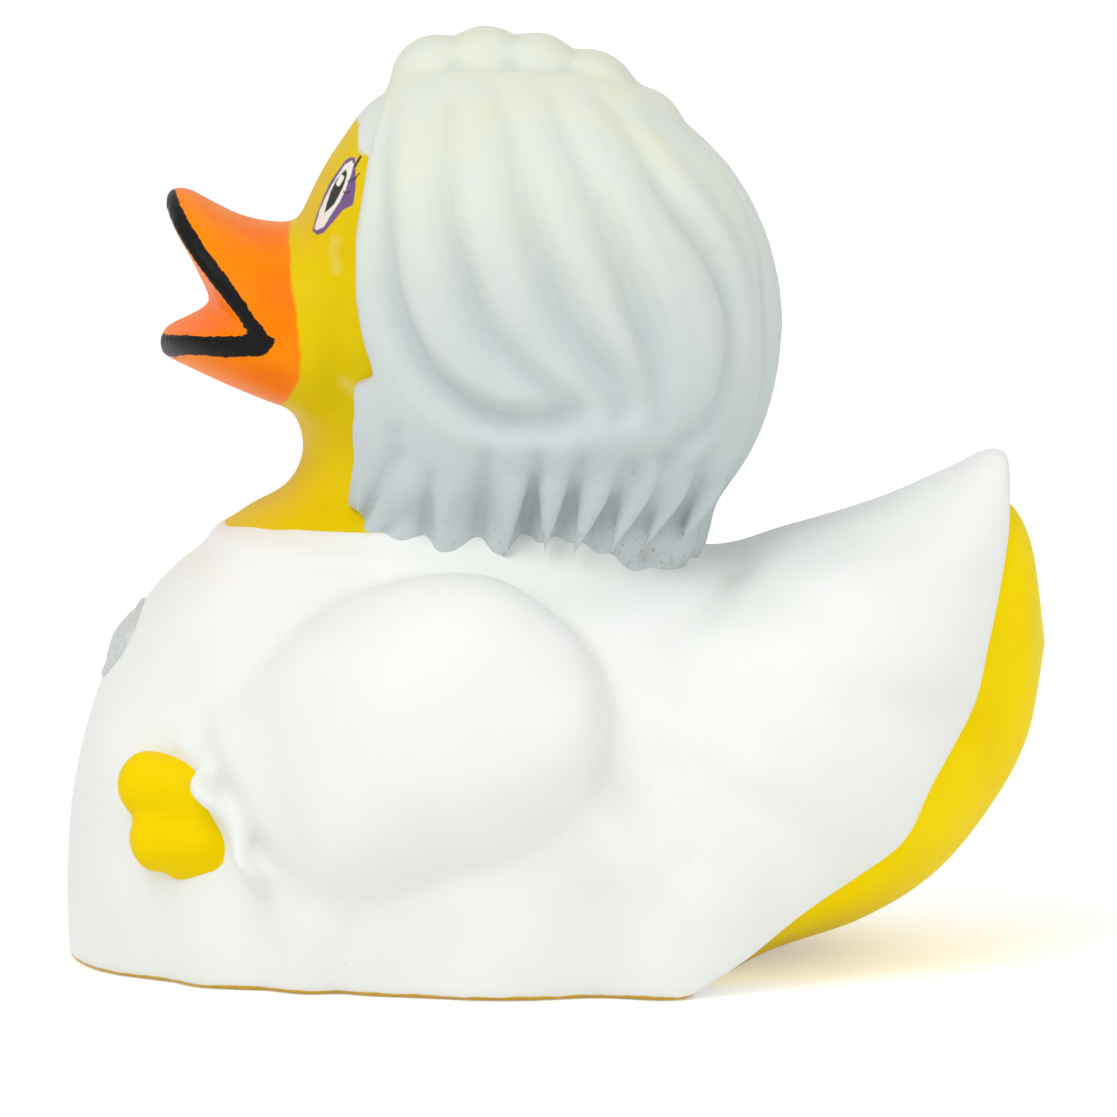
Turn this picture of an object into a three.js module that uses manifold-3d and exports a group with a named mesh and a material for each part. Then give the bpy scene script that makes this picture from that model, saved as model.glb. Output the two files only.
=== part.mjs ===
// A bath duck moulded in one piece: a hollow duck in a long gown with puff sleeves, bobbed hair and an open bill.
// Millimetres. The duck faces -Y, +Z is up, X = 0 is its middle plane, and it stands on Z = 0.
import * as THREE from 'three';
import { mergeVertices } from 'three/addons/utils/BufferGeometryUtils.js';
import Module from 'manifold-3d';

const wasm = await Module();
wasm.setup();

// Overall sizes. The outlines below are drawn at the sizes in DRAWN and stretched to these.
const LENGTH = 90;
const WIDTH = 71;
const HEIGHT = 85.4;
const DRAWN = { length: 89.8, width: 70.6, height: 85.1 };

// Sizes that are set by themselves.
const WALL = 2.4; // the moulded skin
const FLOOR = 2.2; // the skin under the flat base
const VENT_RADIUS = 2.5; // the round hole that every such moulding has in its base
const VENT_Y = -6;
const GOWN_STEP = 0.8; // how far the gown's hem stands proud of the duck's own body
const FOLD_DEPTH = 1.5; // how deep the gown's deepest fold is
const LOCK_HEIGHT = 1.5; // how far a lock stands out from the dip beside it
const LOCK_STEEPNESS = 0.34; // the most that is, as a share of the way to the next lock
const FRILL_THICKNESS = 1.6;
const BROOCH_HALF_WIDTH = 7.2;
const BROOCH_HALF_HEIGHT = 4.2;
const BROOCH_PROUD = 0.8;

const VINYL = { color: 0xf4f2ec, roughness: 0.42, metalness: 0 };

const STRETCH = new THREE.Vector3(WIDTH / DRAWN.width, LENGTH / DRAWN.length, HEIGHT / DRAWN.height);

const clamp = (v, low, high) => Math.min(high, Math.max(low, v));
const smooth = (low, high, v) => {
  const t = clamp((v - low) / (high - low), 0, 1);
  return t * t * (3 - 2 * t);
};
const bump = (v, centre, width) => Math.exp(-(((v - centre) / width) ** 2));

// Control rows blended along a Catmull-Rom curve, so a form needs only a few of them.
function rowAt(rows, t) {
  const last = rows.length - 1;
  const place = clamp(t, 0, 1) * last;
  const k = Math.min(Math.floor(place), last - 1);
  const u = place - k;
  const row = (i) => rows[clamp(i, 0, last)];
  return row(k).map((_, c) => {
    const [a, b, d, e] = [row(k - 1)[c], row(k)[c], row(k + 1)[c], row(k + 2)[c]];
    return b + 0.5 * u * (d - a + u * (2 * a - 5 * b + 4 * d - e + u * (3 * (b - d) + e - a)));
  });
}

// Closed skin over a list of rings, drawn together to a point at each end.
function skin(rings, start, end) {
  const around = rings[0].length;
  const points = [start, ...rings.flat(), end];
  const at = (r, k) => 1 + r * around + (k % around);
  const faces = [];
  for (let k = 0; k < around; k++) {
    faces.push(0, at(0, k + 1), at(0, k));
    faces.push(points.length - 1, at(rings.length - 1, k), at(rings.length - 1, k + 1));
    for (let r = 0; r < rings.length - 1; r++) {
      faces.push(at(r, k), at(r, k + 1), at(r + 1, k + 1));
      faces.push(at(r, k), at(r + 1, k + 1), at(r + 1, k));
    }
  }
  const geometry = new THREE.BufferGeometry();
  geometry.setAttribute('position', new THREE.Float32BufferAttribute(points.flatMap((p) => p.toArray()), 3));
  geometry.setIndex(faces);
  return geometry;
}

// A closed geometry as a manifold solid, turned the right way out.
function solid(geometry) {
  const bare = geometry.clone();
  bare.deleteAttribute('normal');
  bare.deleteAttribute('uv');
  const merged = mergeVertices(bare, 1e-5);
  const vertProperties = new Float32Array(merged.attributes.position.array);
  const triVerts = new Uint32Array(merged.index.array);
  const made = new wasm.Manifold(new wasm.Mesh({ numProp: 3, vertProperties, triVerts }));
  if (made.volume() > 0) return made;
  triVerts.reverse();
  return new wasm.Manifold(new wasm.Mesh({ numProp: 3, vertProperties, triVerts }));
}

const joined = (parts) => parts.reduce((a, b) => a.add(b));
const bothSides = (part) => part.add(part.mirror([1, 0, 0]));

// A form drawn by its side view. A row is one section: the y and z of its one edge, the y and z of the
// other, its half width, and the x of its middle where that isn't the middle plane.
function form(rows, { stations, around, squareness = 2, grow = 0, relief = null }) {
  const power = 2 / squareness;
  const rounded = (v) => Math.sign(v) * Math.abs(v) ** power;
  const corner = (y, z, x = 0) => new THREE.Vector3(x, y, z).multiply(STRETCH);
  const middle = ([y1, z1, y2, z2, , x = 0]) => corner((y1 + y2) / 2, (z1 + z2) / 2, x);
  const rings = [];
  for (let s = 1; s < stations; s++) {
    const row = rowAt(rows, s / stations);
    const centre = middle(row);
    const half = corner((row[0] - row[2]) / 2, (row[1] - row[3]) / 2);
    const tall = Math.max(half.length() + grow, 0.05);
    const wide = Math.max(row[4] * STRETCH.x + grow, 0.05);
    half.normalize();
    const ring = [];
    for (let k = 0; k < around; k++) {
      const turn = (2 * Math.PI * k) / around;
      const out = half.clone().multiplyScalar(tall * rounded(Math.cos(turn)));
      out.x += wide * rounded(Math.sin(turn));
      const point = centre.clone().add(out);
      if (relief) point.addScaledVector(out.normalize(), relief(point.clone().divide(STRETCH)));
      ring.push(point);
    }
    rings.push(ring);
  }
  // A hollow form ends short of the solid one round it.
  const tip = (a, b) => {
    const from = middle(a);
    const to = middle(b);
    return from.addScaledVector(to.clone().sub(from).normalize(), Math.max(-grow, 0));
  };
  return solid(skin(rings, tip(rows[0], rows[2]), tip(rows[rows.length - 1], rows[rows.length - 3])));
}

// A round strand along a path of [x, y, z], such as a lock of hair or a finger.
// Its radius swells over the first share of its length and thins to a point over the last.
// Its rings are set out from an axis that the path never runs along.
function strand(path, radius, { stations, around, root = 0.15, tip = 0.5, axis = [1, 0, 0] }) {
  const spine = new THREE.CatmullRomCurve3(
    path.map((p) => new THREE.Vector3(...p).multiply(STRETCH)), false, 'centripetal');
  const rings = [];
  for (let s = 1; s < stations; s++) {
    const t = 0.5 - 0.5 * Math.cos((Math.PI * s) / stations);
    const size = radius * Math.sqrt(Math.min(1, t / root)) * Math.min(1, (1 - t) / tip) ** 0.6;
    const centre = spine.getPointAt(t);
    const along = spine.getTangentAt(t);
    const side = new THREE.Vector3(...axis).cross(along).normalize();
    const over = along.clone().cross(side);
    const ring = [];
    for (let k = 0; k < around; k++) {
      const turn = (2 * Math.PI * k) / around;
      const out = side.clone().multiplyScalar(Math.cos(turn)).addScaledVector(over, Math.sin(turn));
      ring.push(centre.clone().addScaledVector(out, size));
    }
    rings.push(ring);
  }
  return solid(skin(rings, spine.getPointAt(0), spine.getPointAt(1)));
}

// The gown, from the foot of the chest over the shoulders to the tip of the tail.
const BODY_SQUARENESS = 2.3;
const GOWN = [
  [-44.7, 7, -44.7, 7, 0],
  [-44.1, 14.5, -44.4, 0, 5],
  [-42.5, 21.7, -43.6, -4, 9],
  [-39.6, 28.8, -41.5, -8, 14],
  [-34.4, 35.4, -36.5, -12, 19.2],
  [-26.7, 39.5, -28, -15, 24],
  [-12, 41, -13, -17, 28],
  [2, 39.4, 2, -17, 29],
  [13.5, 36.8, 13, -14, 28.4],
  [22, 38.8, 21.5, -5, 25.4],
  [30, 41.3, 29, 0, 21.2],
  [36.4, 44.2, 36, 4, 16],
  [40.8, 46, 41, 10.5, 10.4],
  [43.4, 42, 43.6, 18, 6.4],
  [45, 31, 45, 31, 0],
];

// The duck's own body, which shows behind the gown's hem.
const RUMP = [
  [-6, 14, -6, 14, 0],
  [6, 32, 6, -9, 24],
  [18, 36, 17.4, -3, 26],
  [29, 39.5, 28.5, 0.6, 21.2],
  [36, 41.5, 35.8, 4, 15.6],
  [40.8, 42, 41, 10.6, 10.4],
  [43.7, 38, 44, 18, 6.2],
  [45.1, 28.5, 45.1, 28.5, 0],
];

// Side view of the gown's hem, which climbs from the base to the tip of the tail.
const HEM = [
  [11.2, -1],
  [13, 0.6],
  [17.5, 3.3],
  [22.2, 6.7],
  [27.6, 9.8],
  [31.8, 13],
  [34.2, 17.8],
  [37.9, 24],
  [39.3, 29.5],
  [40.6, 35],
  [41.5, 40.5],
  [41.9, 50],
];

// Neck and head, from inside the shoulders to the crown.
const HEAD = [
  [-10, 26, -10, 26, 0],
  [-26, 30, 9, 30, 15],
  [-31.4, 37.4, 12, 35, 18.5],
  [-28.6, 40.6, 12.5, 39.5, 16],
  [-24.4, 43.1, 13, 43.5, 14],
  [-22.8, 46.8, 13.5, 47.5, 13.8],
  [-24, 51, 15, 52, 15.8],
  [-25, 57, 16.5, 58, 18],
  [-24.6, 63.4, 17, 64, 18.8],
  [-22.5, 69, 15, 69, 18.4],
  [-19.6, 74.2, 10.5, 73.5, 16],
  [-15.2, 79, 3, 77.5, 10.8],
  [-6, 81, -6, 81, 0],
];

// The whole bill, before the mouth is cut into it.
const BILL = [
  [-14, 59, -14, 59, 0],
  [-19.5, 66.2, -19.5, 49.6, 13.6],
  [-24, 66.9, -24.6, 50.5, 13.5],
  [-28, 67.5, -28.6, 52, 13.1],
  [-31, 68.9, -31.8, 53.4, 12.2],
  [-33.2, 70.1, -34, 54.4, 10.5],
  [-34.6, 70.3, -35.2, 55, 8],
  [-35.3, 69.2, -35.9, 56, 4.6],
  [-35.8, 62.5, -35.8, 62.5, 0],
];

// The open mouth: its corner in the middle plane, its corner out at the lips, and where each lip line leads.
const MOUTH = {
  corner: [-31, 59.8],
  cheek: [-26.6, 58],
  cheekX: 12.6,
  upperTip: [-35.3, 69],
  lowerTip: [-36, 57],
};

// The mass of the hair, from the shoulders to the crown.
const HAIR_SQUARENESS = 2.6;
const HAIR = [
  [-4, 33, -4, 33, 0],
  [-14.6, 38, 11, 35.5, 15],
  [-16.2, 42.5, 14.4, 42, 17.4],
  [-16, 48, 17.8, 47.4, 19.6],
  [-16.2, 54, 19.6, 53.4, 21],
  [-17, 61, 20, 60, 21.6],
  [-16.8, 67, 18.6, 66.4, 21.2],
  [-16, 73, 15.6, 72.2, 18.8],
  [-14.2, 77.8, 11, 76.6, 14.4],
  [-12, 81, 5.6, 80.4, 8.6],
  [-4, 82.6, -4, 82.6, 0],
];

// Locks of hair in the side view, [y, z] from the parting down to the tip.
const LOCKS = [
  [[-13.4, 79], [-14.8, 75], [-15.6, 69], [-15.8, 62], [-14.8, 56], [-11.4, 51.6], [-6, 49.6], [-0.5, 49.8]],
  [[-10.6, 80.5], [-11.6, 74.5], [-11.8, 67.5], [-10.6, 61.5], [-7.5, 56], [-3, 52], [1.6, 50]],
  [[-8, 81.2], [-8.4, 74.5], [-7.2, 67.5], [-5.2, 61.5], [-1.4, 55.6], [3.6, 50]],
  [[-5, 81.6], [-4.4, 75.5], [-2.5, 68.5], [-0.5, 63], [2.6, 56.6], [5.4, 49.6]],
  [[-2, 81.6], [0, 74.5], [2.5, 68], [5, 62.5], [7, 56.5], [7.4, 49]],
  [[1.5, 81], [4, 73.5], [6.5, 67], [9, 61.5], [10.8, 56], [9.4, 48.4]],
  [[4, 80.2], [8, 73.5], [11, 68], [13.5, 62], [14, 56.5], [11.4, 47.6]],
  [[6, 78.8], [11.4, 72], [15, 66.5], [17, 61], [17, 56], [13.4, 46.4]],
];

// Tips that fall on the shoulders from under the locks: [y, z] and how far each place stands out.
const TIPS = [
  [[-14.4, 54, -1.4], [-16.4, 50.5, 0.2], [-17, 45, 1.4], [-18, 34, 3]],
  [[-10.4, 53, -1.6], [-12.2, 49, 0], [-13.4, 44, 1.4], [-14.8, 34, 3]],
  [[-6.4, 52.4, -1.6], [-8, 48.6, 0], [-9.4, 44, 1], [-11, 34, 2]],
  [[-2.6, 52, -1.6], [-3.8, 48.4, 0], [-5.4, 43.5, 0.6], [-7.2, 34, 1]],
  [[1.4, 51.8, -1.6], [0.4, 48.2, 0], [-1.2, 43.5, 0.4], [-3.4, 34, 0.6]],
  [[5.4, 51.4, -1.6], [4.6, 48, 0], [3, 43.5, 0.4], [0.6, 34, 0.6]],
  [[9.4, 51, -1.6], [8.6, 47.6, 0], [7, 43, 0.4], [4.6, 34, 0.6]],
  [[12.8, 50.4, -1.6], [12, 47, 0], [10.6, 42.5, 0.4], [8.4, 34, 0.6]],
];

// Locks down the back of the head: how far out each lies, and their path, [share of that, y, z].
const NAPE_SPREAD = [9.6, 3.2, -3.2, -9.6];
const NAPE_ROUND = 0.02; // how fast the back falls away to the sides
const NAPE = [[0.4, 6, 80.6], [0.7, 12, 76.5], [0.95, 17.6, 70.6], [1.1, 20.8, 62], [1.1, 21, 55], [1, 17.9, 46]];
const NAPE_TIPS = [[0.95, 16.2, 50], [0.95, 16.4, 46.5], [0.95, 14.8, 42], [0.9, 11, 34]];

// Rolls of hair over the crown, from the parting to the far side: the y and the top of each.
const PARTING_X = 7;
const CROWN_ROLL_RADIUS = 4.4;
const CROWN_ROLLS = [[-10, 84.9], [-6.4, 85.4], [-2.8, 84.9], [0.8, 84.2], [4.2, 83]];

// A puff sleeve, from its back down to the cuff.
const SLEEVE = [
  [5.1, 25.8, 5.1, 25.8, 0, 27],
  [3.2, 31, 3.3, 20, 6.4, 26.4],
  [-1.4, 35.6, 0.2, 15.8, 9.2, 25.6],
  [-7.2, 37.9, -6.7, 11.6, 11, 24.4],
  [-15.7, 36.6, -14, 8.8, 11.2, 23],
  [-22.8, 32.2, -18.8, 7, 10.2, 21.8],
  [-28, 26.8, -20, 6.8, 8.8, 20.6],
  [-31, 23.4, -21.4, 7.4, 7.4, 20],
  [-27, 15, -27, 15, 0, 20],
];

// The frill at the cuff: its middle, the way the arm points, and the size and waves of its rim.
const FRILL = { centre: [19.8, -27.6, 14.4], arm: [-0.1, -0.84, -0.54], tall: 9.6, wide: 8, wave: 0.9, waves: 6 };

// Fingers, from the wrist, [x, y, z], and the radius of each.
const FINGERS = [
  { radius: 3.1, path: [[20.6, -26, 15], [21.2, -31, 17], [19.4, -35.6, 18], [17.4, -38.9, 18.2]] },
  { radius: 3.2, path: [[20.6, -26, 14], [21.6, -31, 13.4], [20, -35, 13], [18.6, -37.9, 12.8]] },
  { radius: 2.6, path: [[20.6, -25, 12], [21.8, -29, 11.2], [20.8, -33, 11], [19.6, -35.4, 11]] },
];

// Folds in the side view: a share of the fold depth, below 0 for a dip, the width where the fold starts and
// where it ends, and its path, [y, z].
const FOLDS = [
  { share: -0.5, width: [2.4, 2.8], path: [[5, 21], [12, 11]] },
  { share: -1, width: [2.4, 4.6], path: [[7.6, 23.3], [13.4, 19.7], [20, 15.4], [27, 9]] },
  { share: -0.65, width: [2.6, 3.4], path: [[25, 29], [30, 25], [38, 23]] },
  { share: -0.4, width: [2.4, 3], path: [[20, 39], [34, 41]] },
  { share: 0.45, width: [3, 3.6], path: [[20, 31.4], [39, 28]] },
  { share: 0.3, width: [2.6, 3], path: [[23, 36.2], [39, 33.4]] },
  { share: -0.6, width: [2.2, 2.6], path: [[14.4, 40], [17, 37.5], [12, 32]] },
  { share: -0.4, width: [2.2, 2.8], path: [[-40.6, 16], [-37, 0]] },
  { share: 0.5, width: [2.6, 3.4], path: [[-31.5, 12], [-32, 0]] },
  { share: -0.5, width: [2, 2.6], path: [[-26.4, 10], [-26.4, 0]] },
  { share: 0.5, width: [2.4, 3], path: [[-21.4, 11], [-21.6, 0]] },
  { share: 0.6, width: [3.4, 5], path: [[-9.5, 12], [-6, 0]] },
  { share: -0.6, width: [2.6, 3.6], path: [[3.4, 12], [3.7, 0]] },
  { share: 0.55, width: [2.6, 3.4], path: [[2, 19], [7.6, 9.6], [11, 0]] },
];

// How far a place in the side view is from a path, and the share of the path's steps behind its nearest point.
function offPath(place, path) {
  const steps = path.length - 1;
  let nearest = { off: Infinity };
  for (let i = 0; i < steps; i++) {
    const start = new THREE.Vector2(...path[i]);
    const step = new THREE.Vector2(...path[i + 1]).sub(start);
    const t = clamp(place.clone().sub(start).dot(step) / step.lengthSq(), 0, 1);
    const off = place.distanceTo(start.addScaledVector(step, t));
    if (off < nearest.off) nearest = { off, along: (i + t) / steps };
  }
  return nearest;
}

function gownRelief({ x, y, z }) {
  const place = new THREE.Vector2(y, z);
  const total = FOLDS.reduce((sum, { share, width, path }) => {
    const { off, along } = offPath(place, path);
    return sum + share * bump(off, 0, width[0] + (width[1] - width[0]) * along);
  }, 0);
  return FOLD_DEPTH * smooth(2, 8, Math.abs(x)) * total;
}

// Half width of the hair's mass at a place in the side view, so that a lock can lie on it.
function hairHalfWidth(y, z) {
  let best = { off: Infinity };
  for (let t = 0.05; t < 0.99; t += 0.01) {
    const [yFront, zFront, yBack, zBack, width] = rowAt(HAIR, t);
    const share = clamp((y - yFront) / (yBack - yFront), 0.12, 0.92);
    const off = Math.abs(zFront + (zBack - zFront) * share - z);
    if (off < best.off) best = { off, share, width };
  }
  return best.width * (1 - Math.abs(2 * best.share - 1) ** HAIR_SQUARENESS) ** (1 / HAIR_SQUARENESS);
}

// One skin over locks that lie side by side round the head, from one temple round the back to the other: a
// ridge along each lock and a dip between two. Its front edges round in under the face.
function lockSkin(locks, stations, between) {
  const curves = locks.map((points) => new THREE.CatmullRomCurve3(
    points.map((p) => new THREE.Vector3(...p).multiply(STRETCH)), false, 'centripetal'));
  const rings = [];
  for (let s = 0; s <= stations; s++) {
    const ridges = curves.map((curve) => curve.getPointAt(s / stations));
    const ring = ridges.flatMap((ridge, i) => {
      const next = ridges[i + 1];
      if (!next) return [ridge];
      const steepest = LOCK_STEEPNESS * ridge.distanceTo(next);
      const dips = between.map(([share, depth]) => {
        const place = ridge.clone().lerp(next, share);
        const inward = place.clone().setZ(0).normalize().negate();
        return place.addScaledVector(inward, depth * Math.min(LOCK_HEIGHT, steepest));
      });
      return [ridge, ...dips];
    });
    const forward = 1.8 * Math.min(1, (4 * s) / stations);
    const edge = (ridge, reach, y) => new THREE.Vector3(ridge.x * reach, ridge.y + y, ridge.z);
    const [first, last] = [ridges[0], ridges[ridges.length - 1]];
    ring.push(edge(last, 0.92, -forward), edge(last, 0.6, 2));
    ring.push(edge(first, 0.6, 2), edge(first, 0.92, -forward));
    rings.push(ring);
  }
  const middle = (ring) => ring.reduce((sum, p) => sum.clone().add(p)).divideScalar(ring.length);
  return solid(skin(rings, middle(rings[0]), middle(rings[rings.length - 1])));
}

// A side's locks, those down the back, and the side's locks mirrored.
function allRound(paths, nape) {
  const side = (hand) => paths.map((path) => path.map(([y, z, out = 0]) =>
    [hand * (hairHalfWidth(y, z) + LOCK_HEIGHT / 2 + out), y, z]));
  const back = NAPE_SPREAD.map((x) => nape.map(([share, y, z]) => [share * x, y - NAPE_ROUND * x * x, z]));
  return [...side(1), ...back, ...side(-1).reverse()];
}

function hair() {
  const locks = lockSkin(allRound(LOCKS, NAPE), 14, [[0.25, 0.3], [0.5, 1], [0.75, 0.3]]);
  const tips = lockSkin(allRound(TIPS, NAPE_TIPS), 4, [[0.5, 1]]);
  const rolls = CROWN_ROLLS.map(([y, top]) => {
    const middle = top - CROWN_ROLL_RADIUS;
    const over = [[PARTING_X, y, middle - 1.6], [0, y, middle], [-7, y + 0.8, middle - 1.8]];
    const down = [[-13, y + 2, middle - 6], [-17.4, y + 3.6, middle - 13]];
    return strand([...over, ...down], CROWN_ROLL_RADIUS, { stations: 8, around: 10, tip: 0.4, axis: [0, 1, 0] });
  });
  return joined([locks, tips, ...rolls]);
}

// The mouth is a wedge whose corner bows forward in the middle, so palate and tongue are full.
function mouth() {
  const rings = [];
  const reach = 1.6;
  const beyond = ([y, z], corner) => [corner[0] + (y - corner[0]) * reach, corner[1] + (z - corner[1]) * reach];
  for (let x = -18; x <= 18; x += 2) {
    const bow = (x / MOUTH.cheekX) ** 2;
    const corner = MOUTH.corner.map((v, i) => v + (MOUTH.cheek[i] - v) * bow);
    const outline = [corner, beyond(MOUTH.upperTip, corner), beyond(MOUTH.lowerTip, corner)];
    rings.push(outline.map(([y, z]) => new THREE.Vector3(x, y, z).multiply(STRETCH)));
  }
  const centre = (ring) => ring.reduce((sum, p) => sum.clone().add(p)).divideScalar(3);
  return solid(skin(rings, centre(rings[0]), centre(rings[rings.length - 1])));
}

function gown() {
  const cloth = form(GOWN, {
    stations: 31, around: 42, squareness: BODY_SQUARENESS, grow: GOWN_STEP / 2, relief: gownRelief });
  const side = new THREE.Shape();
  side.moveTo(-70, -30);
  side.lineTo(HEM[0][0], -30);
  side.lineTo(...HEM[0]);
  side.splineThru(HEM.slice(1).map(([y, z]) => new THREE.Vector2(y, z)));
  side.lineTo(HEM[HEM.length - 1][0], 90);
  side.lineTo(-70, 90);
  side.closePath();
  const slab = new THREE.ExtrudeGeometry(side, { depth: 160, bevelEnabled: false, curveSegments: 24 });
  slab.translate(0, 0, -80);
  // The outline's x and y are the duck's y and z.
  const turn = new THREE.Matrix4().makeBasis(
    new THREE.Vector3(0, 1, 0), new THREE.Vector3(0, 0, 1), new THREE.Vector3(1, 0, 0));
  slab.applyMatrix4(turn);
  slab.scale(1, STRETCH.y, STRETCH.z);
  return cloth.intersect(solid(slab));
}

// A thin disc round the wrist with a waved rim.
function frill() {
  const arm = new THREE.Vector3(...FRILL.arm).normalize();
  const side = new THREE.Vector3(1, 0, 0).cross(arm).cross(arm).normalize();
  const up = side.clone().cross(arm);
  const centre = new THREE.Vector3(...FRILL.centre).multiply(STRETCH);
  const around = FRILL.waves * 5;
  const rings = [[0.6, -0.5], [0.95, -0.5], [1, 0], [0.95, 0.5], [0.6, 0.5]].map(([inset, off]) =>
    Array.from({ length: around }, (_, k) => {
      const turn = (2 * Math.PI * k) / around;
      const wave = FRILL.wave * Math.cos(FRILL.waves * turn);
      return centre.clone()
        .addScaledVector(up, (FRILL.tall + wave) * inset * Math.cos(turn))
        .addScaledVector(side, (FRILL.wide + wave) * inset * Math.sin(turn))
        .addScaledVector(arm, FRILL_THICKNESS * off + 0.6 * inset * wave);
    }));
  const end = (off) => centre.clone().addScaledVector(arm, FRILL_THICKNESS * off);
  return solid(skin(rings, end(-0.5), end(0.5)));
}

function arm() {
  const sleeve = form(SLEEVE, { stations: 14, around: 22 });
  const fingers = FINGERS.map(({ path, radius }) => strand(path, radius, { stations: 7, around: 8, tip: 0.15 }));
  return joined([sleeve, frill(), ...fingers]);
}

function brooch() {
  const oval = new THREE.SphereGeometry(1, 16, 8);
  oval.scale(BROOCH_HALF_WIDTH, 2 + BROOCH_PROUD, BROOCH_HALF_HEIGHT);
  oval.rotateX(THREE.MathUtils.degToRad(-29));
  oval.translate(0, -37.6 * STRETCH.y, 28.2 * STRETCH.z);
  return solid(oval);
}

// The hollow inside is one room, from the skirt up through the neck into the head.
function hollow() {
  const plain = { stations: 12, around: 14 };
  return joined([
    form(GOWN, { ...plain, squareness: BODY_SQUARENESS, grow: -(WALL + FOLD_DEPTH * 0.8) }),
    form(RUMP, { ...plain, squareness: BODY_SQUARENESS, grow: -WALL }),
    form(HEAD, { ...plain, squareness: BODY_SQUARENESS, grow: -WALL }),
  ]);
}

function above(z) {
  const box = new THREE.BoxGeometry(300, 300, 300);
  box.translate(0, 0, 150 + z);
  return solid(box);
}

function vent() {
  const hole = new THREE.CylinderGeometry(VENT_RADIUS, VENT_RADIUS, FLOOR * 4, 24);
  hole.rotateX(Math.PI / 2);
  hole.translate(0, VENT_Y, 0);
  return solid(hole);
}

function duckGeometry() {
  const bill = form(BILL, { stations: 15, around: 22, squareness: BODY_SQUARENESS }).subtract(mouth());
  const body = form(RUMP, { stations: 15, around: 28, squareness: BODY_SQUARENESS });
  const head = form(HEAD, { stations: 17, around: 22, squareness: BODY_SQUARENESS });
  const outside = joined([body, head, bill, gown(), hair(), bothSides(arm()), brooch()]).intersect(above(0));
  const whole = outside.subtract(hollow().intersect(above(FLOOR))).subtract(vent());
  // The largest piece alone: specks and sealed pockets left where forms graze each other are dropped.
  const duck = whole.decompose().reduce((a, b) => (b.volume() > a.volume() ? b : a));
  const mesh = duck.getMesh();
  const geometry = new THREE.BufferGeometry();
  geometry.setAttribute('position', new THREE.BufferAttribute(new Float32Array(mesh.vertProperties), 3));
  geometry.setIndex(new THREE.BufferAttribute(new Uint32Array(mesh.triVerts), 1));
  geometry.computeVertexNormals();
  geometry.computeBoundingBox();
  const box = geometry.boundingBox;
  geometry.translate(-(box.min.x + box.max.x) / 2, -(box.min.y + box.max.y) / 2, -box.min.z);
  return geometry;
}

const duck = new THREE.Mesh(duckGeometry(), new THREE.MeshStandardMaterial(VINYL));
duck.name = 'duck';
const model = new THREE.Group();
model.add(duck);

export default model;
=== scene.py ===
import math

import bmesh
import bpy
import numpy as np
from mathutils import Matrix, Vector
from mathutils.kdtree import KDTree


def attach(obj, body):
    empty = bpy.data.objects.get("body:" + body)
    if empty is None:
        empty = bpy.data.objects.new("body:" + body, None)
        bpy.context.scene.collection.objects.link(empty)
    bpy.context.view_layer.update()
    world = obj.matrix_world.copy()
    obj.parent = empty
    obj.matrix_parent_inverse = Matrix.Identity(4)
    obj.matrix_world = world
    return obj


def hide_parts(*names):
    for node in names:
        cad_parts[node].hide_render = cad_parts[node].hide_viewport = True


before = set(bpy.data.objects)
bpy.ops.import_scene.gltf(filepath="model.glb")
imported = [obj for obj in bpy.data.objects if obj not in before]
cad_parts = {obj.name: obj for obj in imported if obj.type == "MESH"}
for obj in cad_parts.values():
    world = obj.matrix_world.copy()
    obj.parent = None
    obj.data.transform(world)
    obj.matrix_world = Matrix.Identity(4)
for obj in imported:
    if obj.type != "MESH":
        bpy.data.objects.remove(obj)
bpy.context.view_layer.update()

MM = 0.001


# Camera

CAMERA_ELEVATION = 7.0
CAMERA_DISTANCE = 900.0
CAMERA_AIM = (0.0, 0.3, 36.4)
PICTURE_WIDTH = 102.57  # what the picture spans at the aim


def put_camera():
    data = bpy.data.cameras.new("camera")
    data.sensor_width = 36.0
    data.lens = data.sensor_width * CAMERA_DISTANCE / PICTURE_WIDTH
    data.clip_start = 0.05
    data.clip_end = 20.0
    camera = bpy.data.objects.new("camera", data)
    bpy.context.scene.collection.objects.link(camera)
    angle = math.radians(CAMERA_ELEVATION)
    back = Vector((math.cos(angle), 0.0, math.sin(angle)))
    camera.location = (Vector(CAMERA_AIM) + back * CAMERA_DISTANCE) * MM
    camera.rotation_euler = back.to_track_quat("Z", "Y").to_euler()
    bpy.context.scene.camera = camera


put_camera()


# Outlines, in millimetres

BODY_SQUARENESS = 2.3
HAIR_SQUARENESS = 2.6
STRETCH = (71 / 70.6, 90 / 89.8, 85.4 / 85.1)  # the built duck against the drawn one
SHIFT_Y = -0.2  # and how far back the built one stands

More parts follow.
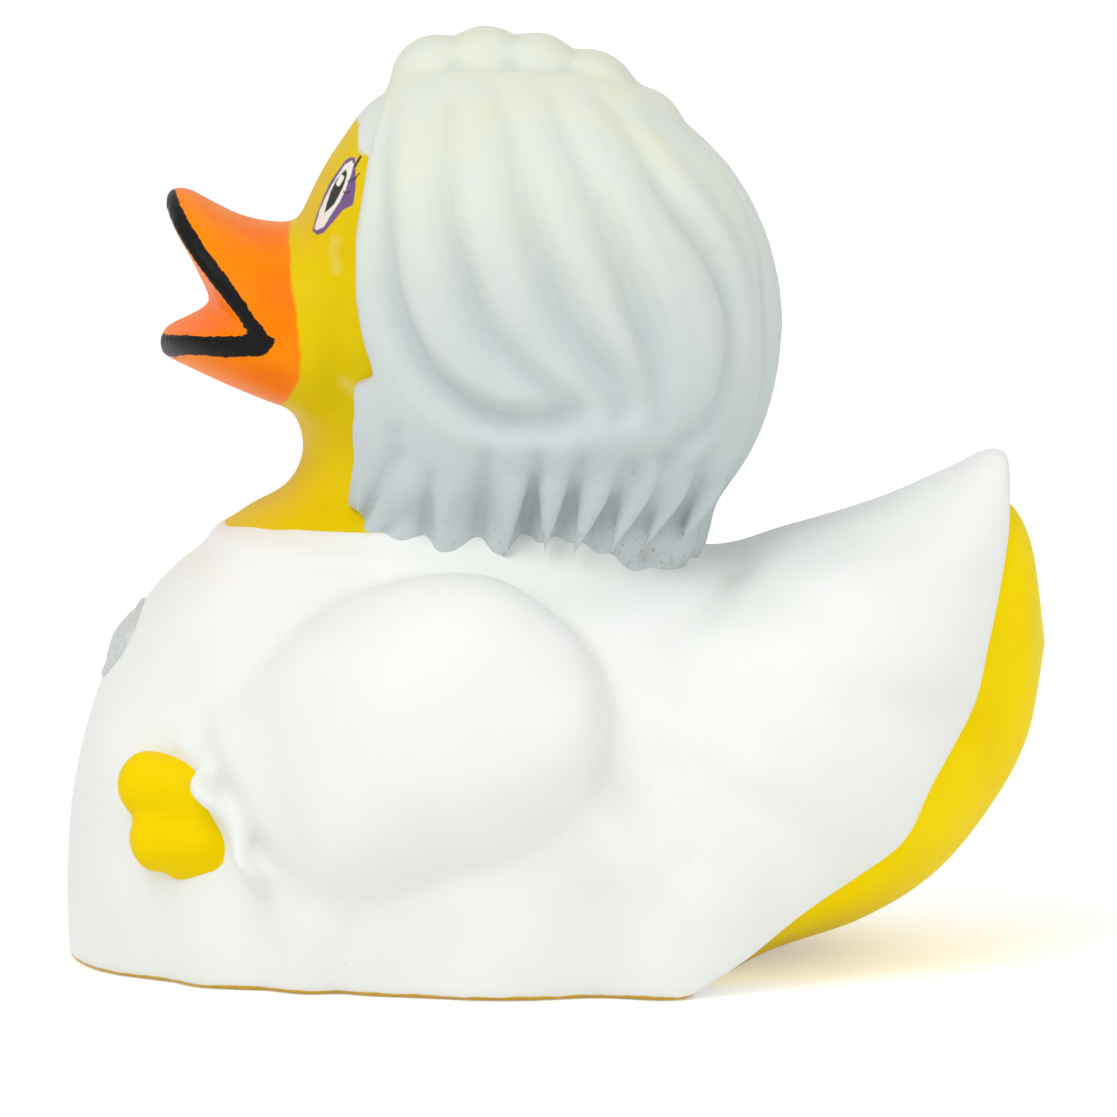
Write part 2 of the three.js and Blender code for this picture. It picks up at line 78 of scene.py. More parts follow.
# A row is one section in the side view: y and z of its one edge, y and z of the other, and its half width.
GOWN = [
    [-44.7, 7, -44.7, 7, 0],
    [-44.1, 14.5, -44.4, 0, 5],
    [-42.5, 21.7, -43.6, -4, 9],
    [-39.6, 28.8, -41.5, -8, 14],
    [-34.4, 35.4, -36.5, -12, 19.2],
    [-26.7, 39.5, -28, -15, 24],
    [-12, 41, -13, -17, 28],
    [2, 39.4, 2, -17, 29],
    [13.5, 36.8, 13, -14, 28.4],
    [22, 38.8, 21.5, -5, 25.4],
    [30, 41.3, 29, 0, 21.2],
    [36.4, 44.2, 36, 4, 16],
    [40.8, 46, 41, 10.5, 10.4],
    [43.4, 42, 43.6, 18, 6.4],
    [45, 31, 45, 31, 0],
]
RUMP = [
    [-6, 14, -6, 14, 0],
    [6, 32, 6, -9, 24],
    [18, 36, 17.4, -0.4, 26],
    [29, 39.5, 28, 3.4, 21.2],
    [36, 41.5, 34.8, 7.4, 15.6],
    [40.8, 42, 40, 13.4, 10.4],
    [43.7, 38, 43.5, 20, 6.2],
    [45.1, 28.5, 45.1, 28.5, 0],
]
HEM = [
    [12.1, 0],
    [13.4, 0.8],
    [17.5, 3.3],
    [22.2, 6.7],
    [27.6, 9.8],
    [31.8, 13],
    [34.2, 17.8],
    [37.9, 24],
    [39.3, 29.5],
    [40.6, 35],
    [41.5, 40.5],
    [41.9, 50],
]
HEAD = [
    [-10, 26, -10, 26, 0],
    [-26, 30, 9, 30, 15],
    [-31.4, 37.4, 12, 35, 18.5],
    [-28.6, 40.6, 12.5, 39.5, 16],
    [-24.4, 43.1, 13, 43.5, 14],
    [-22.8, 46.8, 13.5, 47.5, 13.8],
    [-24, 51, 15, 52, 15.8],
    [-25, 57, 16.5, 58, 18],
    [-24.6, 63.4, 17, 64, 18.8],
    [-22.5, 69, 15, 69, 18.4],
    [-19.6, 74.2, 10.5, 73.5, 16],
    [-15.2, 79, 3, 77.5, 10.8],
    [-6, 81, -6, 81, 0],
]
BILL = [
    [-14, 59, -14, 59, 0],
    [-19.5, 66.2, -19.5, 49.6, 13.6],
    [-24, 66.9, -24.6, 50.5, 13.5],
    [-28, 67.5, -28.6, 52, 13.1],
    [-31, 68.9, -31.8, 53.4, 12.2],
    [-33.2, 70.1, -34, 54.4, 10.5],
    [-34.6, 70.3, -35.2, 55, 8],
    [-35.3, 69.2, -35.9, 56, 4.6],
    [-35.8, 62.5, -35.8, 62.5, 0],
]
MOUTH_CORNER = np.array([-31, 59.8])
MOUTH_CHEEK = np.array([-27.3, 58.1])
MOUTH_CHEEK_X = 12.6
UPPER_TIP = np.array([-35.3, 69])
LOWER_TIP = np.array([-36, 57])
# Each eye's paint, in the side view: outlines, and strokes with their half width.
EYE_SHADOW = [
    (-18.6, 74.0), (-18.1, 74.1), (-18.0, 72.9), (-18.0, 71.5), (-18.2, 70.1), (-19.2, 69.5), (-19.9, 68.6),
    (-20.9, 67.4), (-21.5, 67.1), (-22.0, 67.4), (-21.6, 68.8), (-21.0, 70.4), (-20.4, 71.7), (-19.5, 73.0),
    (-19.0, 73.7),
]
EYE_WHITE = [
    (-21.8, 67.6), (-21.3, 69.3), (-20.5, 71.0), (-19.7, 72.4), (-19.0, 73.4), (-18.4, 73.8), (-18.2, 73.5),
    (-18.4, 72.7), (-18.9, 71.4), (-19.4, 70.3), (-20.2, 69.1), (-20.9, 67.9), (-21.6, 67.5),
]
PUPIL = [
    (-20.9, 69.0), (-20.7, 69.8), (-20.3, 71.0), (-19.8, 72.0), (-19.3, 72.6), (-18.9, 73.0), (-18.8, 72.6),
    (-19.1, 71.6), (-19.5, 70.8), (-20.0, 69.9),
]
# Dry paint on the face
SMEARS = [
    (0.4, [(-19.7, 66.6), (-19.9, 65.8), (-19.4, 64)]),
    (0.5, [(-18.8, 53.9), (-17.8, 52.8)]),
]
GLINT = [(0.2, [(-19.6, 71.7), (-19.3, 72.3)])]
LASHES = [
    (0.1, [(-18.1, 73.3), (-17.6, 74.2)]),
    (0.06, [(-18.7, 72.0), (-18.1, 72.3), (-17.7, 72.8)]),
    (0.06, [(-19.1, 71.1), (-18.8, 71.0), (-18.5, 71.2)]),
]
HAIR = [
    [-4, 33, -4, 33, 0],
    [-19.5, 37, 11, 35.5, 15],
    [-21, 42.5, 14.4, 42, 17.4],
    [-22, 48, 17.8, 47.4, 19.6],
    [-22.4, 54, 19.6, 53.4, 21],
    [-22.6, 61, 20, 60, 21.6],
    [-22.2, 67, 18.6, 66.4, 21.2],
    [-20.6, 73, 15.6, 72.2, 18.8],
    [-18, 77.8, 11, 76.6, 14.4],
    [-13, 81, 5.6, 80.4, 8.6],
    [-4, 82.6, -4, 82.6, 0],
]
# Where the hair ends in front, beside the face, in the side view.
HAIR_FRONT = [
    (-13, 90), (-13.6, 83), (-14.4, 81.1), (-15.3, 78.9), (-16.4, 75.3), (-17.1, 70.8), (-17.7, 67.2),
    (-17.7, 61.8), (-17.1, 58.2), (-15.9, 54.6), (-17.9, 54), (-18, 53.2), (-17.6, 49), (-18.6, 42.6),
    (-17, 41.8), (-17.8, 39.4), (-17.9, 36),
]

# The hair's dips and swells in the side view: height (negative for a dip), width at each end, and the path.
LOCKS = [
    (-1.1, 0.9, 1.3, [
        (-15, 79.4), (-15.6, 74), (-15.4, 69), (-14.8, 63), (-13, 57.9), (-10.3, 54.2), (-6, 51.6), (0, 51),
    ]),
    (-1.0, 0.8, 1.5, [
        (-9.3, 79), (-9.7, 70), (-8.5, 65), (-6.6, 59.4), (-4.2, 56.2), (-0.7, 53.5), (1.6, 52.2),
    ]),
    (-1.1, 0.8, 1.6, [
        (-5.4, 80), (-3.9, 76), (-3.2, 72), (-1.3, 65.7), (0.5, 61), (2.3, 57.9), (4.8, 55), (6.2, 52.4),
    ]),
    (-1.0, 0.8, 1.5, [(-0.5, 80), (0.8, 77), (2.4, 74), (5.1, 68.2), (7.3, 62.6), (9.2, 57), (9.8, 51)]),
    (-1.1, 0.8, 1.0, [
        (4, 79.6), (5.8, 78.1), (8, 74.9), (10.7, 70.6), (14.5, 65.6), (16.3, 61.3), (16.5, 57.5), (15.1, 52.6),
        (12.7, 49.6), (8.4, 46.4),
    ]),
    (-0.6, 0.8, 1.2, [
        (8.8, 77.6), (13.5, 72.5), (16.8, 67.5), (18.6, 62), (18.8, 57), (16.4, 50.6), (13, 45.6),
    ]),
    (-0.35, 0.6, 0.8, [(-12.2, 78), (-12.6, 72), (-12.2, 66), (-10.8, 61), (-8, 57), (-5, 54.4)]),
    (-0.35, 0.6, 0.8, [(-6.6, 77), (-6.2, 71), (-4.6, 65), (-2.4, 61), (0.4, 57.6)]),
    (-0.3, 0.6, 0.9, [(8, 70), (10.4, 65), (12, 60), (12.6, 55), (11.6, 50)]),
    (0.7, 1.4, 2.0, [(-12.4, 79), (-12.6, 70), (-11.6, 63), (-8.8, 57.8), (-4, 54.2), (0.6, 52.6)]),
    (0.6, 1.3, 1.8, [(-7, 79), (-6.2, 70), (-4.2, 63.6), (-1, 59), (2.4, 55.4), (4.4, 52.6), (4.6, 49.6)]),
    (0.6, 1.2, 2.0, [(-2, 79), (0.2, 71), (3, 64.8), (5.4, 59.6), (7.6, 55.4), (8, 51)]),
    (0.8, 1.6, 2.8, [(2.6, 78.6), (6.4, 71), (9.6, 65.4), (12.2, 60), (13, 55.4), (11.6, 50.4)]),
    (0.5, 1.0, 1.4, [(8, 77), (12.6, 71.4), (16.4, 65), (17.7, 59), (16.9, 53.6), (13.4, 48)]),
    (0.3, 1.4, 1.7, [(-14.4, 57), (-11.4, 52.6), (-6, 49.5), (-1, 49), (2.6, 49.4)]),
    (-1.0, 0.7, 1.3, [(-14.4, 50), (-14.6, 46), (-16, 42)]),
    (-0.8, 0.7, 1.1, [(-11.2, 46), (-12.2, 39)]),
    (-1.2, 0.7, 1.5, [(-6, 48), (-6.8, 43), (-7.2, 38)]),
    (-1.6, 0.7, 1.5, [(-1.4, 48), (-2, 43.6), (-2.6, 38)]),
    (-1.6, 0.7, 1.5, [(2.6, 47.4), (1.6, 43), (0.4, 38)]),
    (-1.6, 0.7, 1.6, [(7, 47.4), (5.4, 43.4), (3.2, 38)]),
    (-1.4, 0.7, 1.4, [(10.8, 47), (8.8, 43), (6.4, 38)]),
    (-1.2, 0.7, 1.3, [(14, 46.8), (12, 43), (9.6, 38)]),
]
# Pointed tips that fall on the shoulders: radius and path in the side view.
TIPS = [
    (2.3, [(-14, 55.4), (-16.2, 51.6), (-16.9, 46.6), (-17.8, 41)]),
    (2.8, [(-11, 49.6), (-12.8, 45.4), (-15.2, 42), (-18.4, 38.6)]),
    (2.3, [(-8.2, 49.4), (-9.4, 44), (-10.4, 38.2)]),
    (2.1, [(-3, 50), (-3.7, 45), (-4.3, 38)]),
    (1.9, [(0.6, 49.6), (0, 45), (-0.9, 38)]),
    (2.1, [(4.8, 49.4), (3.8, 44.6), (1.6, 38)]),
    (2.0, [(9, 48.6), (7.4, 44), (4.8, 38)]),
    (1.8, [(12.6, 48), (10.6, 43.6), (7.8, 38.2)]),
    (1.8, [(15.4, 48), (13.8, 43.4), (11, 38.4)]),
]
# Rolls of hair over the crown, from the parting: the y and the top of each, and its radius.
PARTING_X = 7
CROWN_ROLLS = [(-10.6, 84.3, 4.2), (-6.2, 85.1, 4.4), (-1.7, 84.5, 4.4), (3, 83, 4.7), (7.6, 79.6, 4.3)]

# The near sleeve's rows also give how far out their middle lies.
SLEEVE = [
    [5.1, 25.8, 5.1, 25.8, 0, 27],
    [3.2, 31, 3.3, 20, 6.4, 26.4],
    [-1.4, 35.6, 0.2, 15.8, 9.2, 25.6],
    [-7.2, 37.9, -6.7, 11.6, 11, 24.4],
    [-15.7, 36.6, -14, 8.8, 11.2, 23],
    [-22.8, 32.2, -18.8, 7, 10.2, 21.8],
    [-28, 26.8, -20, 6.8, 8.8, 20.6],
    [-31, 23.4, -21.4, 7.4, 7.4, 20],
    [-27, 15, -27, 15, 0, 20],
]
FRILL_CENTRE = np.array([19.8, -27.6, 14.4])
FRILL_ARM = np.array([-0.1, -0.84, -0.54])  # the way that the forearm points
FRILL_TALL, FRILL_WIDE = 9.6, 8
FRILL_WAVES, FRILL_WAVE = 7, 0.9
# Each finger's radius and path.
FINGERS = [
    (3.1, [(20.2, -26, 15), (20.8, -31, 17), (19, -35.6, 18), (17, -38.9, 18.2)]),
    (3.1, [(20.2, -26, 14.4), (21.2, -31, 13.8), (19.6, -35, 13.4), (18.2, -37.9, 13.2)]),
    (2.4, [(20.2, -25, 13), (21.4, -29, 12.3), (20.4, -33, 12), (19.4, -35.2, 12)]),
]
BROOCH_CENTRE = (0, -38.6, 28.6)
BROOCH_HALF_WIDTH = 7.2
BROOCH_HALF_HEIGHT = 4.2
BROOCH_LEAN = math.radians(-29)
# Each ring's share of the full size, and how far it stands off the middle
BROOCH_RINGS = [
    (0.5, 2.0), (0.98, 1.6), (1, 0), (0.97, -0.9), (0.9, -1.15), (0.82, -1.0), (0.74, -1.1), (0.5, -1.5),
    (0.25, -1.75),
]
NECKLINE = [(-70, 39.5), (-31.2, 39.5), (-29, 39.9), (-27, 40.3), (-22, 40.5), (-15, 40.6), (20, 40.6)]
VENT_RADIUS = 2.5
VENT_Y = -6
VENT_DEPTH = 4
# The size of each skin's faces
HEAD_GRAIN = 0.4
GOWN_GRAIN = 0.47
HAND_GRAIN = 0.3
HAIR_GRAIN = 0.36

# Folds of the gown in the side view: height (negative for a dip), width at each end, and the path.
FOLDS = [
    (-0.9, 1.2, 1.6, [(5, 20.8), (11.8, 12.2)]),
    (-1.5, 1.2, 4.2, [(7.6, 23.3), (13.4, 19.7), (20, 15.4), (26, 10)]),
    (-0.5, 1.3, 1.6, [(11.8, 26.4), (16.7, 22.4)]),
    (-1.0, 1.6, 2.8, [(25.8, 28.8), (29.8, 24.9), (37, 23)]),
    (-0.6, 1.6, 2.2, [(20.2, 39.1), (30.1, 39.7), (34, 41.5)]),
    (0.6, 2.0, 2.6, [(25, 29.6), (39, 27)]),
    (0.5, 2.2, 2.6, [(11.2, 31.9), (40, 30.4)]),
    (0.4, 1.6, 2.2, [(23.3, 36.2), (30.9, 34.2), (39, 33)]),
    (-0.9, 1.1, 1.3, [(14.4, 40), (17, 38.3), (14.8, 35.4), (11.2, 31.9)]),
    (-0.8, 1.4, 1.0, [(15.1, 35.1), (17, 37.5), (20.6, 40.7)]),
    (-0.5, 1.2, 1.8, [(-40.6, 15.9), (-37.3, 7.1), (-37, 0)]),
    (-0.7, 1.0, 1.5, [(-35.2, 8.8), (-34.6, 0)]),
    (0.7, 1.6, 2.4, [(-31, 11), (-32, 0)]),
    (-0.6, 1.0, 1.4, [(-26.2, 8), (-25.9, 0)]),
    (0.6, 1.6, 2.4, [(-22, 11), (-22.6, 0)]),
    (-0.8, 0.9, 1.4, [(-18.4, 8), (-19, 0)]),
    (0.9, 3.0, 5.0, [(-9.5, 11), (-5, 0)]),
    (-0.9, 2.0, 3.4, [(3.4, 12), (3.7, 0)]),
    (0.8, 2.0, 3.0, [(2, 19), (7.6, 9.6), (10.5, 0)]),
]


# Curves and skins


def smooth(low, high, v):
    t = np.clip((v - low) / (high - low), 0.0, 1.0)
    return t * t * (3.0 - 2.0 * t)


def bump(v, centre, width):
    return np.exp(-(((v - centre) / width) ** 2))


def row_at(rows, t):
    """Control rows blended along a Catmull-Rom curve, at shares t of the way from the first to the last."""
    table = np.array([list(row) + [0.0] * (6 - len(row)) for row in rows], float)
    last = len(table) - 1
    place = np.clip(t, 0.0, 1.0) * last
    k = np.minimum(place.astype(int), last - 1)
    u = (place - k)[:, None]
    a, b, d, e = (table[np.clip(k + i, 0, last)] for i in (-1, 0, 1, 2))
    return b + 0.5 * u * (d - a + u * (2 * a - 5 * b + 4 * d - e + u * (3 * (b - d) + e - a)))


def curve(path, steps):
    """Points spread along a smooth curve through a path."""
    points = np.array(path, float)
    fine = row_points(points, np.linspace(0, 1, 40 * len(points)))
    run = np.concatenate([[0.0], np.cumsum(np.linalg.norm(np.diff(fine, axis=0), axis=1))])
    at = np.linspace(0, run[-1], steps)
    return np.stack([np.interp(at, run, fine[:, c]) for c in range(points.shape[1])], axis=1)


def row_points(points, t):
    last = len(points) - 1
    place = np.clip(t, 0.0, 1.0) * last
    k = np.minimum(place.astype(int), last - 1)
    u = (place - k)[:, None]
    ends = np.vstack([2 * points[0] - points[1], points, 2 * points[-1] - points[-2]])
    a, b, d, e = (ends[k + i] for i in (0, 1, 2, 3))
    return b + 0.5 * u * (d - a + u * (2 * a - 5 * b + 4 * d - e + u * (3 * (b - d) + e - a)))


def off_path(points, path):
    """How far each point is from a path, and the share of the way along it that is nearest."""
    best = np.full(len(points), 1e9)
    share = np.zeros(len(points))
    path = np.asarray(path, float)
    steps = len(path) - 1
    for i in range(steps):
        a, d = path[i], path[i + 1] - path[i]
        t = np.clip(((points - a) @ d) / (d @ d), 0.0, 1.0)
        off = np.linalg.norm(points - a - t[:, None] * d, axis=1)
        near = off < best
        best[near] = off[near]
        share[near] = (i + t[near]) / steps
    return best, share


def skin(rings, start, end):
    """Closed skin over rings of points, drawn together to a point at each end."""
    count, around = rings.shape[:2]
    points = np.vstack([start[None], rings.reshape(-1, 3), end[None]])
    k = np.arange(around)
    nxt = (k + 1) % around
    faces = [(0, 1 + b, 1 + a) for a, b in zip(k, nxt)]
    base = 1 + np.arange(count - 1)[:, None] * around
    quads = np.stack([base + k, base + nxt, base + around + nxt, base + around + k], axis=-1).reshape(-1, 4)
    faces += [tuple(q) for q in quads.tolist()]
    tail = len(points) - 1
    faces += [(tail, 1 + (count - 1) * around + a, 1 + (count - 1) * around + b) for a, b in zip(k, nxt)]
    return points, faces


def form(rows, stations, around, squareness=2.0, grow=0.0, relief=None):
    """A form drawn by its side view, as rows of sections. relief gives how far a place stands out, in mm."""
    t = np.arange(1, stations) / stations
    row = row_at(rows, t)
    centre = np.stack([row[:, 5], (row[:, 0] + row[:, 2]) / 2, (row[:, 1] + row[:, 3]) / 2], axis=1)
    half = np.stack([row[:, 0] * 0, (row[:, 0] - row[:, 2]) / 2, (row[:, 1] - row[:, 3]) / 2], axis=1)
    length = np.linalg.norm(half, axis=1)
    half /= np.maximum(length, 1e-9)[:, None]
    tall = np.maximum(length + grow, 0.02)
    wide = np.maximum(row[:, 4] + grow, 0.02)
    turn = 2 * np.pi * np.arange(around) / around
    power = 2.0 / squareness
    across = np.sign(np.cos(turn)) * np.abs(np.cos(turn)) ** power
    beside = np.sign(np.sin(turn)) * np.abs(np.sin(turn)) ** power
    out = half[:, None, :] * (tall[:, None] * across)[..., None]
    out[..., 0] += wide[:, None] * beside
    rings = centre[:, None, :] + out
    if relief is not None:
        flat = rings.reshape(-1, 3)
        away = out.reshape(-1, 3)
        away = away / np.linalg.norm(away, axis=1)[:, None]
        rings = (flat + away * relief(flat)[:, None]).reshape(rings.shape)
    ends = []
    for r in (rows[0], rows[-1]):
        ends.append(np.array([r[5] if len(r) > 5 else 0.0, (r[0] + r[2]) / 2, (r[1] + r[3]) / 2]))
    return skin(rings, *ends)


def new_object(name, points, faces):
    """An object from points in mm, turned the right way out."""
    mesh = bpy.data.meshes.new(name)
    mesh.from_pydata((np.asarray(points) * MM).tolist(), [], faces)
    mesh.update()
    piece = bpy.data.objects.new(name, mesh)
    bpy.context.scene.collection.objects.link(piece)
    if volume(mesh) < 0:
        mesh.flip_normals()
    return piece


def places(mesh):
    co = np.empty(len(mesh.vertices) * 3, np.float32)
    mesh.vertices.foreach_get("co", co)
    return co.reshape(-1, 3).astype(float)


def triangles(mesh):
    mesh.calc_loop_triangles()
    tri = np.empty(len(mesh.loop_triangles) * 3, np.int32)
    mesh.loop_triangles.foreach_get("vertices", tri)
    return tri.reshape(-1, 3)


def volume(mesh):
    co, tri = places(mesh), triangles(mesh)
    return np.einsum("ij,ij->i", co[tri[:, 0]], np.cross(co[tri[:, 1]], co[tri[:, 2]])).sum()


def put_places(mesh, co):
    mesh.vertices.foreach_set("co", co.astype(np.float32).ravel())
    mesh.update()


def joined(name, pieces):
    """One object from several, each closed by itself."""
    points, faces, start = [], [], 0
    for piece in pieces:
        co = places(piece.data)
        points.append(co / MM)
        faces += [tuple(v + start for v in p.vertices) for p in piece.data.polygons]
        start += len(co)
        drop(piece)
    mesh = bpy.data.meshes.new(name)
    mesh.from_pydata((np.vstack(points) * MM).tolist(), [], faces)
    mesh.update()
    whole = bpy.data.objects.new(name, mesh)
    bpy.context.scene.collection.objects.link(whole)
    return whole


def drop(piece):
    mesh = piece.data
    bpy.data.objects.remove(piece)
    if mesh.users == 0:
        bpy.data.meshes.remove(mesh)


def settle(piece):
    """Bakes a piece's modifiers into its mesh."""
    depsgraph = bpy.context.evaluated_depsgraph_get()
    made = bpy.data.meshes.new_from_object(piece.evaluated_get(depsgraph))
    old = piece.data
    piece.modifiers.clear()
    piece.data = made
    made.name = piece.name
    if old.users == 0:
        bpy.data.meshes.remove(old)
    return piece


def cut(piece, other, operation):
    """Joins or cuts two closed meshes; the other one goes."""
    step = piece.modifiers.new("cut", "BOOLEAN")
    step.solver = "MANIFOLD"
    step.operation = operation
    step.object = other
    settle(piece)
    drop(other)
    return piece


def fused(piece, grain):
    """One skin round all that is joined in a piece, with faces of about the grain, in mm."""
    step = piece.modifiers.new("fuse", "REMESH")
    step.mode = "VOXEL"
    step.voxel_size = grain * MM
    step.use_smooth_shade = True
    return settle(piece)


def edge_ends(mesh):
    ends = np.empty(len(mesh.edges) * 2, np.int32)
    mesh.edges.foreach_get("vertices", ends)
    return ends.reshape(-1, 2)


def neighbour_mean(values, ends, degree):
    count = len(values)
    if values.ndim == 1:
        total = np.bincount(ends[:, 0], values[ends[:, 1]], count)
        total += np.bincount(ends[:, 1], values[ends[:, 0]], count)
        return total / degree
    return np.stack([neighbour_mean(values[:, c], ends, degree) for c in range(values.shape[1])], axis=1)


def normals(mesh):
    out = np.empty(len(mesh.vertices) * 3, np.float32)
    mesh.vertex_normals.foreach_get("vector", out)
    return out.reshape(-1, 3).astype(float)


def soften(piece, rounds, ridges=0.5, dips=0.5, where=None):
    """Smooths a skin as moulding does: ridges and dips each by their own amount, and where a mask says."""
    mesh = piece.data
    ends = edge_ends(mesh)
    degree = np.maximum(np.bincount(ends.ravel(), minlength=len(mesh.vertices)), 1)
    co = places(mesh)
    mask = np.ones(len(co)) if where is None else where(co / MM)
    for i in range(rounds):
        if i % 4 == 0:
            put_places(mesh, co)
            out = normals(mesh)
        step = neighbour_mean(co, ends, degree) - co
        hollow = np.einsum("ij,ij->i", step, out) > 0
        co = co + step * (np.where(hollow, dips, ridges) * mask)[:, None]
    put_places(mesh, co)
    return piece


def refine(piece, where, cuts):
    """Splits the faces where a mask says into smaller ones, so that fine paint has a clean edge there."""
    net = bmesh.new()
    net.from_mesh(piece.data)
    near = where(places(piece.data) / MM)
    net.verts.ensure_lookup_table()
    edges = [e for e in net.edges if near[e.verts[0].index] and near[e.verts[1].index]]
    bmesh.ops.subdivide_edges(net, edges=edges, cuts=cuts, use_grid_fill=True)
    net.to_mesh(piece.data)
    net.free()


def built(co):
    """Drawn places at the built duck's own size, in metres."""
    return co * STRETCH + (0, SHIFT_Y * MM, 0)


def keep(piece, name, values):
    """Stores one number a point for the paint to read."""
    layer = piece.data.attributes.new(name, "FLOAT", "POINT")
    layer.data.foreach_set("value", np.asarray(values, np.float32))


def keep_dips(piece, rounds=6):
    """Stores how deep in a crease each point lies: 0 on flat skin, towards 1 in a sharp crease."""
    mesh = piece.data
    ends = edge_ends(mesh)
    degree = np.maximum(np.bincount(ends.ravel(), minlength=len(mesh.vertices)), 1)
    co = places(mesh)
    far = co
    for _ in range(rounds):
        far = neighbour_mean(far, ends, degree)
    depth = np.einsum("ij,ij->i", far - co, normals(mesh)) / MM
    for _ in range(3):
        depth = neighbour_mean(depth, ends, degree)
    keep(piece, "dip", np.clip(depth / 0.12, -1, 1))


# Strands, by geometry nodes: hair tips, crown rolls and fingers


def strand_tree():
    """Tubes along the given lines. Each line's points carry their own thickness."""
    tree = bpy.data.node_groups.new("strands", "GeometryNodeTree")
    face = tree.interface
    face.new_socket("Lines", in_out="INPUT", socket_type="NodeSocketGeometry")
    face.new_socket("Thickness", in_out="INPUT", socket_type="NodeSocketFloat")
    face.new_socket("Sides", in_out="INPUT", socket_type="NodeSocketInt")
    face.new_socket("Finish", in_out="INPUT", socket_type="NodeSocketMaterial")
    face.new_socket("Strands", in_out="OUTPUT", socket_type="NodeSocketGeometry")
    nodes, links = tree.nodes, tree.links
    given = nodes.new("NodeGroupInput")
    line = nodes.new("GeometryNodeMeshToCurve")
    thick = nodes.new("GeometryNodeInputNamedAttribute")
    thick.data_type = "FLOAT"
    thick.inputs["Name"].default_value = "thick"
    scaled = nodes.new("ShaderNodeMath")
    scaled.operation = "MULTIPLY"
    radius = nodes.new("GeometryNodeSetCurveRadius")
    ring = nodes.new("GeometryNodeCurvePrimitiveCircle")
    ring.inputs["Radius"].default_value = 1.0
    tube = nodes.new("GeometryNodeCurveToMesh")
    tube.inputs["Fill Caps"].default_value = True
    real = nodes.new("GeometryNodeRealizeInstances")
    finish = nodes.new("GeometryNodeSetMaterial")
    result = nodes.new("NodeGroupOutput")
    links.new(given.outputs["Lines"], line.inputs["Mesh"])
    links.new(thick.outputs["Attribute"], scaled.inputs[0])
    links.new(given.outputs["Thickness"], scaled.inputs[1])
    links.new(line.outputs["Curve"], radius.inputs["Curve"])
    links.new(scaled.outputs["Value"], radius.inputs["Radius"])
    links.new(given.outputs["Sides"], ring.inputs["Resolution"])
    links.new(radius.outputs["Curve"], tube.inputs["Curve"])
    links.new(ring.outputs["Curve"], tube.inputs["Profile Curve"])
    if "Scale" in tube.inputs:
        links.new(scaled.outputs["Value"], tube.inputs["Scale"])
    links.new(tube.outputs["Mesh"], real.inputs["Geometry"])
    links.new(real.outputs["Geometry"], finish.inputs["Geometry"])
    links.new(given.outputs["Finish"], finish.inputs["Material"])
    links.new(finish.outputs["Geometry"], result.inputs["Strands"])
    return tree


def strands(name, lines, finish, sides=24):
    """Tubes along lines of [x, y, z] in mm, each with the radius at its points, as one object."""
    points, edges, thick = [], [], []
    for path, radii in lines:
        start = sum(len(p) for p in points)
        points.append(path)
        thick.append(radii)
        edges += [(start + i, start + i + 1) for i in range(len(path) - 1)]
    mesh = bpy.data.meshes.new(name)
    mesh.from_pydata((np.vstack(points) * MM).tolist(), edges, [])
    layer = mesh.attributes.new("thick", "FLOAT", "POINT")
    layer.data.foreach_set("value", np.concatenate(thick).astype(np.float32))
    piece = bpy.data.objects.new(name, mesh)
    bpy.context.scene.collection.objects.link(piece)
    step = piece.modifiers.new("strands", "NODES")
    step.node_group = STRAND_TREE
    sockets = {s.name: s.identifier for s in STRAND_TREE.interface.items_tree if s.in_out == "INPUT"}
    step[sockets["Thickness"]] = MM
    step[sockets["Sides"]] = sides
    step[sockets["Finish"]] = finish
    return settle(piece)


def tapered(path, radius, steps=40, root=0.12, tip=0.5, power=0.6):
    """A line whose radius swells over its first share and thins to a point over its last."""
    line = curve(path, steps)
    t = np.linspace(0, 1, steps)
    size = np.sqrt(np.minimum(1, t / root)) * np.minimum(1, (1 - t) / tip) ** power
    return line, np.maximum(radius * size, 0.02)


STRAND_TREE = strand_tree()


# Finishes


def srgb(r, g, b):
    """A colour as it looks on a screen, 0 to 255, as the linear values that a shader takes."""
    shares = (v / 255 for v in (r, g, b))
    return (*(v / 12.92 if v <= 0.0404 else ((v + 0.055) / 1.055) ** 2.4 for v in shares), 1.0)


class Number:
    """A socket's value, with the operators that the finishes use."""

    def __init__(self, finish, socket):
        self.finish, self.socket = finish, socket

    def math(self, operation, other):
        node = self.finish.node("ShaderNodeMath", {"operation": operation}, {0: self, 1: other})
        return Number(self.finish, node.outputs[0])

    def __add__(self, other):
        return self.math("ADD", other)

    def __sub__(self, other):
        return self.math("SUBTRACT", other)

    def __rsub__(self, other):
        return (self * -1.0) + other

    def __mul__(self, other):
        return self.math("MULTIPLY", other)

    __radd__ = __add__
    __rmul__ = __mul__

    def most(self, other):
        return self.math("MAXIMUM", other)

    def ramp(self, low, high):
        """0 below low, 1 above high, and a straight line between."""
        values = {"Value": self, "From Min": low, "From Max": high}
        node = self.finish.node("ShaderNodeMapRange", {"clamp": True}, values)
        return Number(self.finish, node.outputs[0])


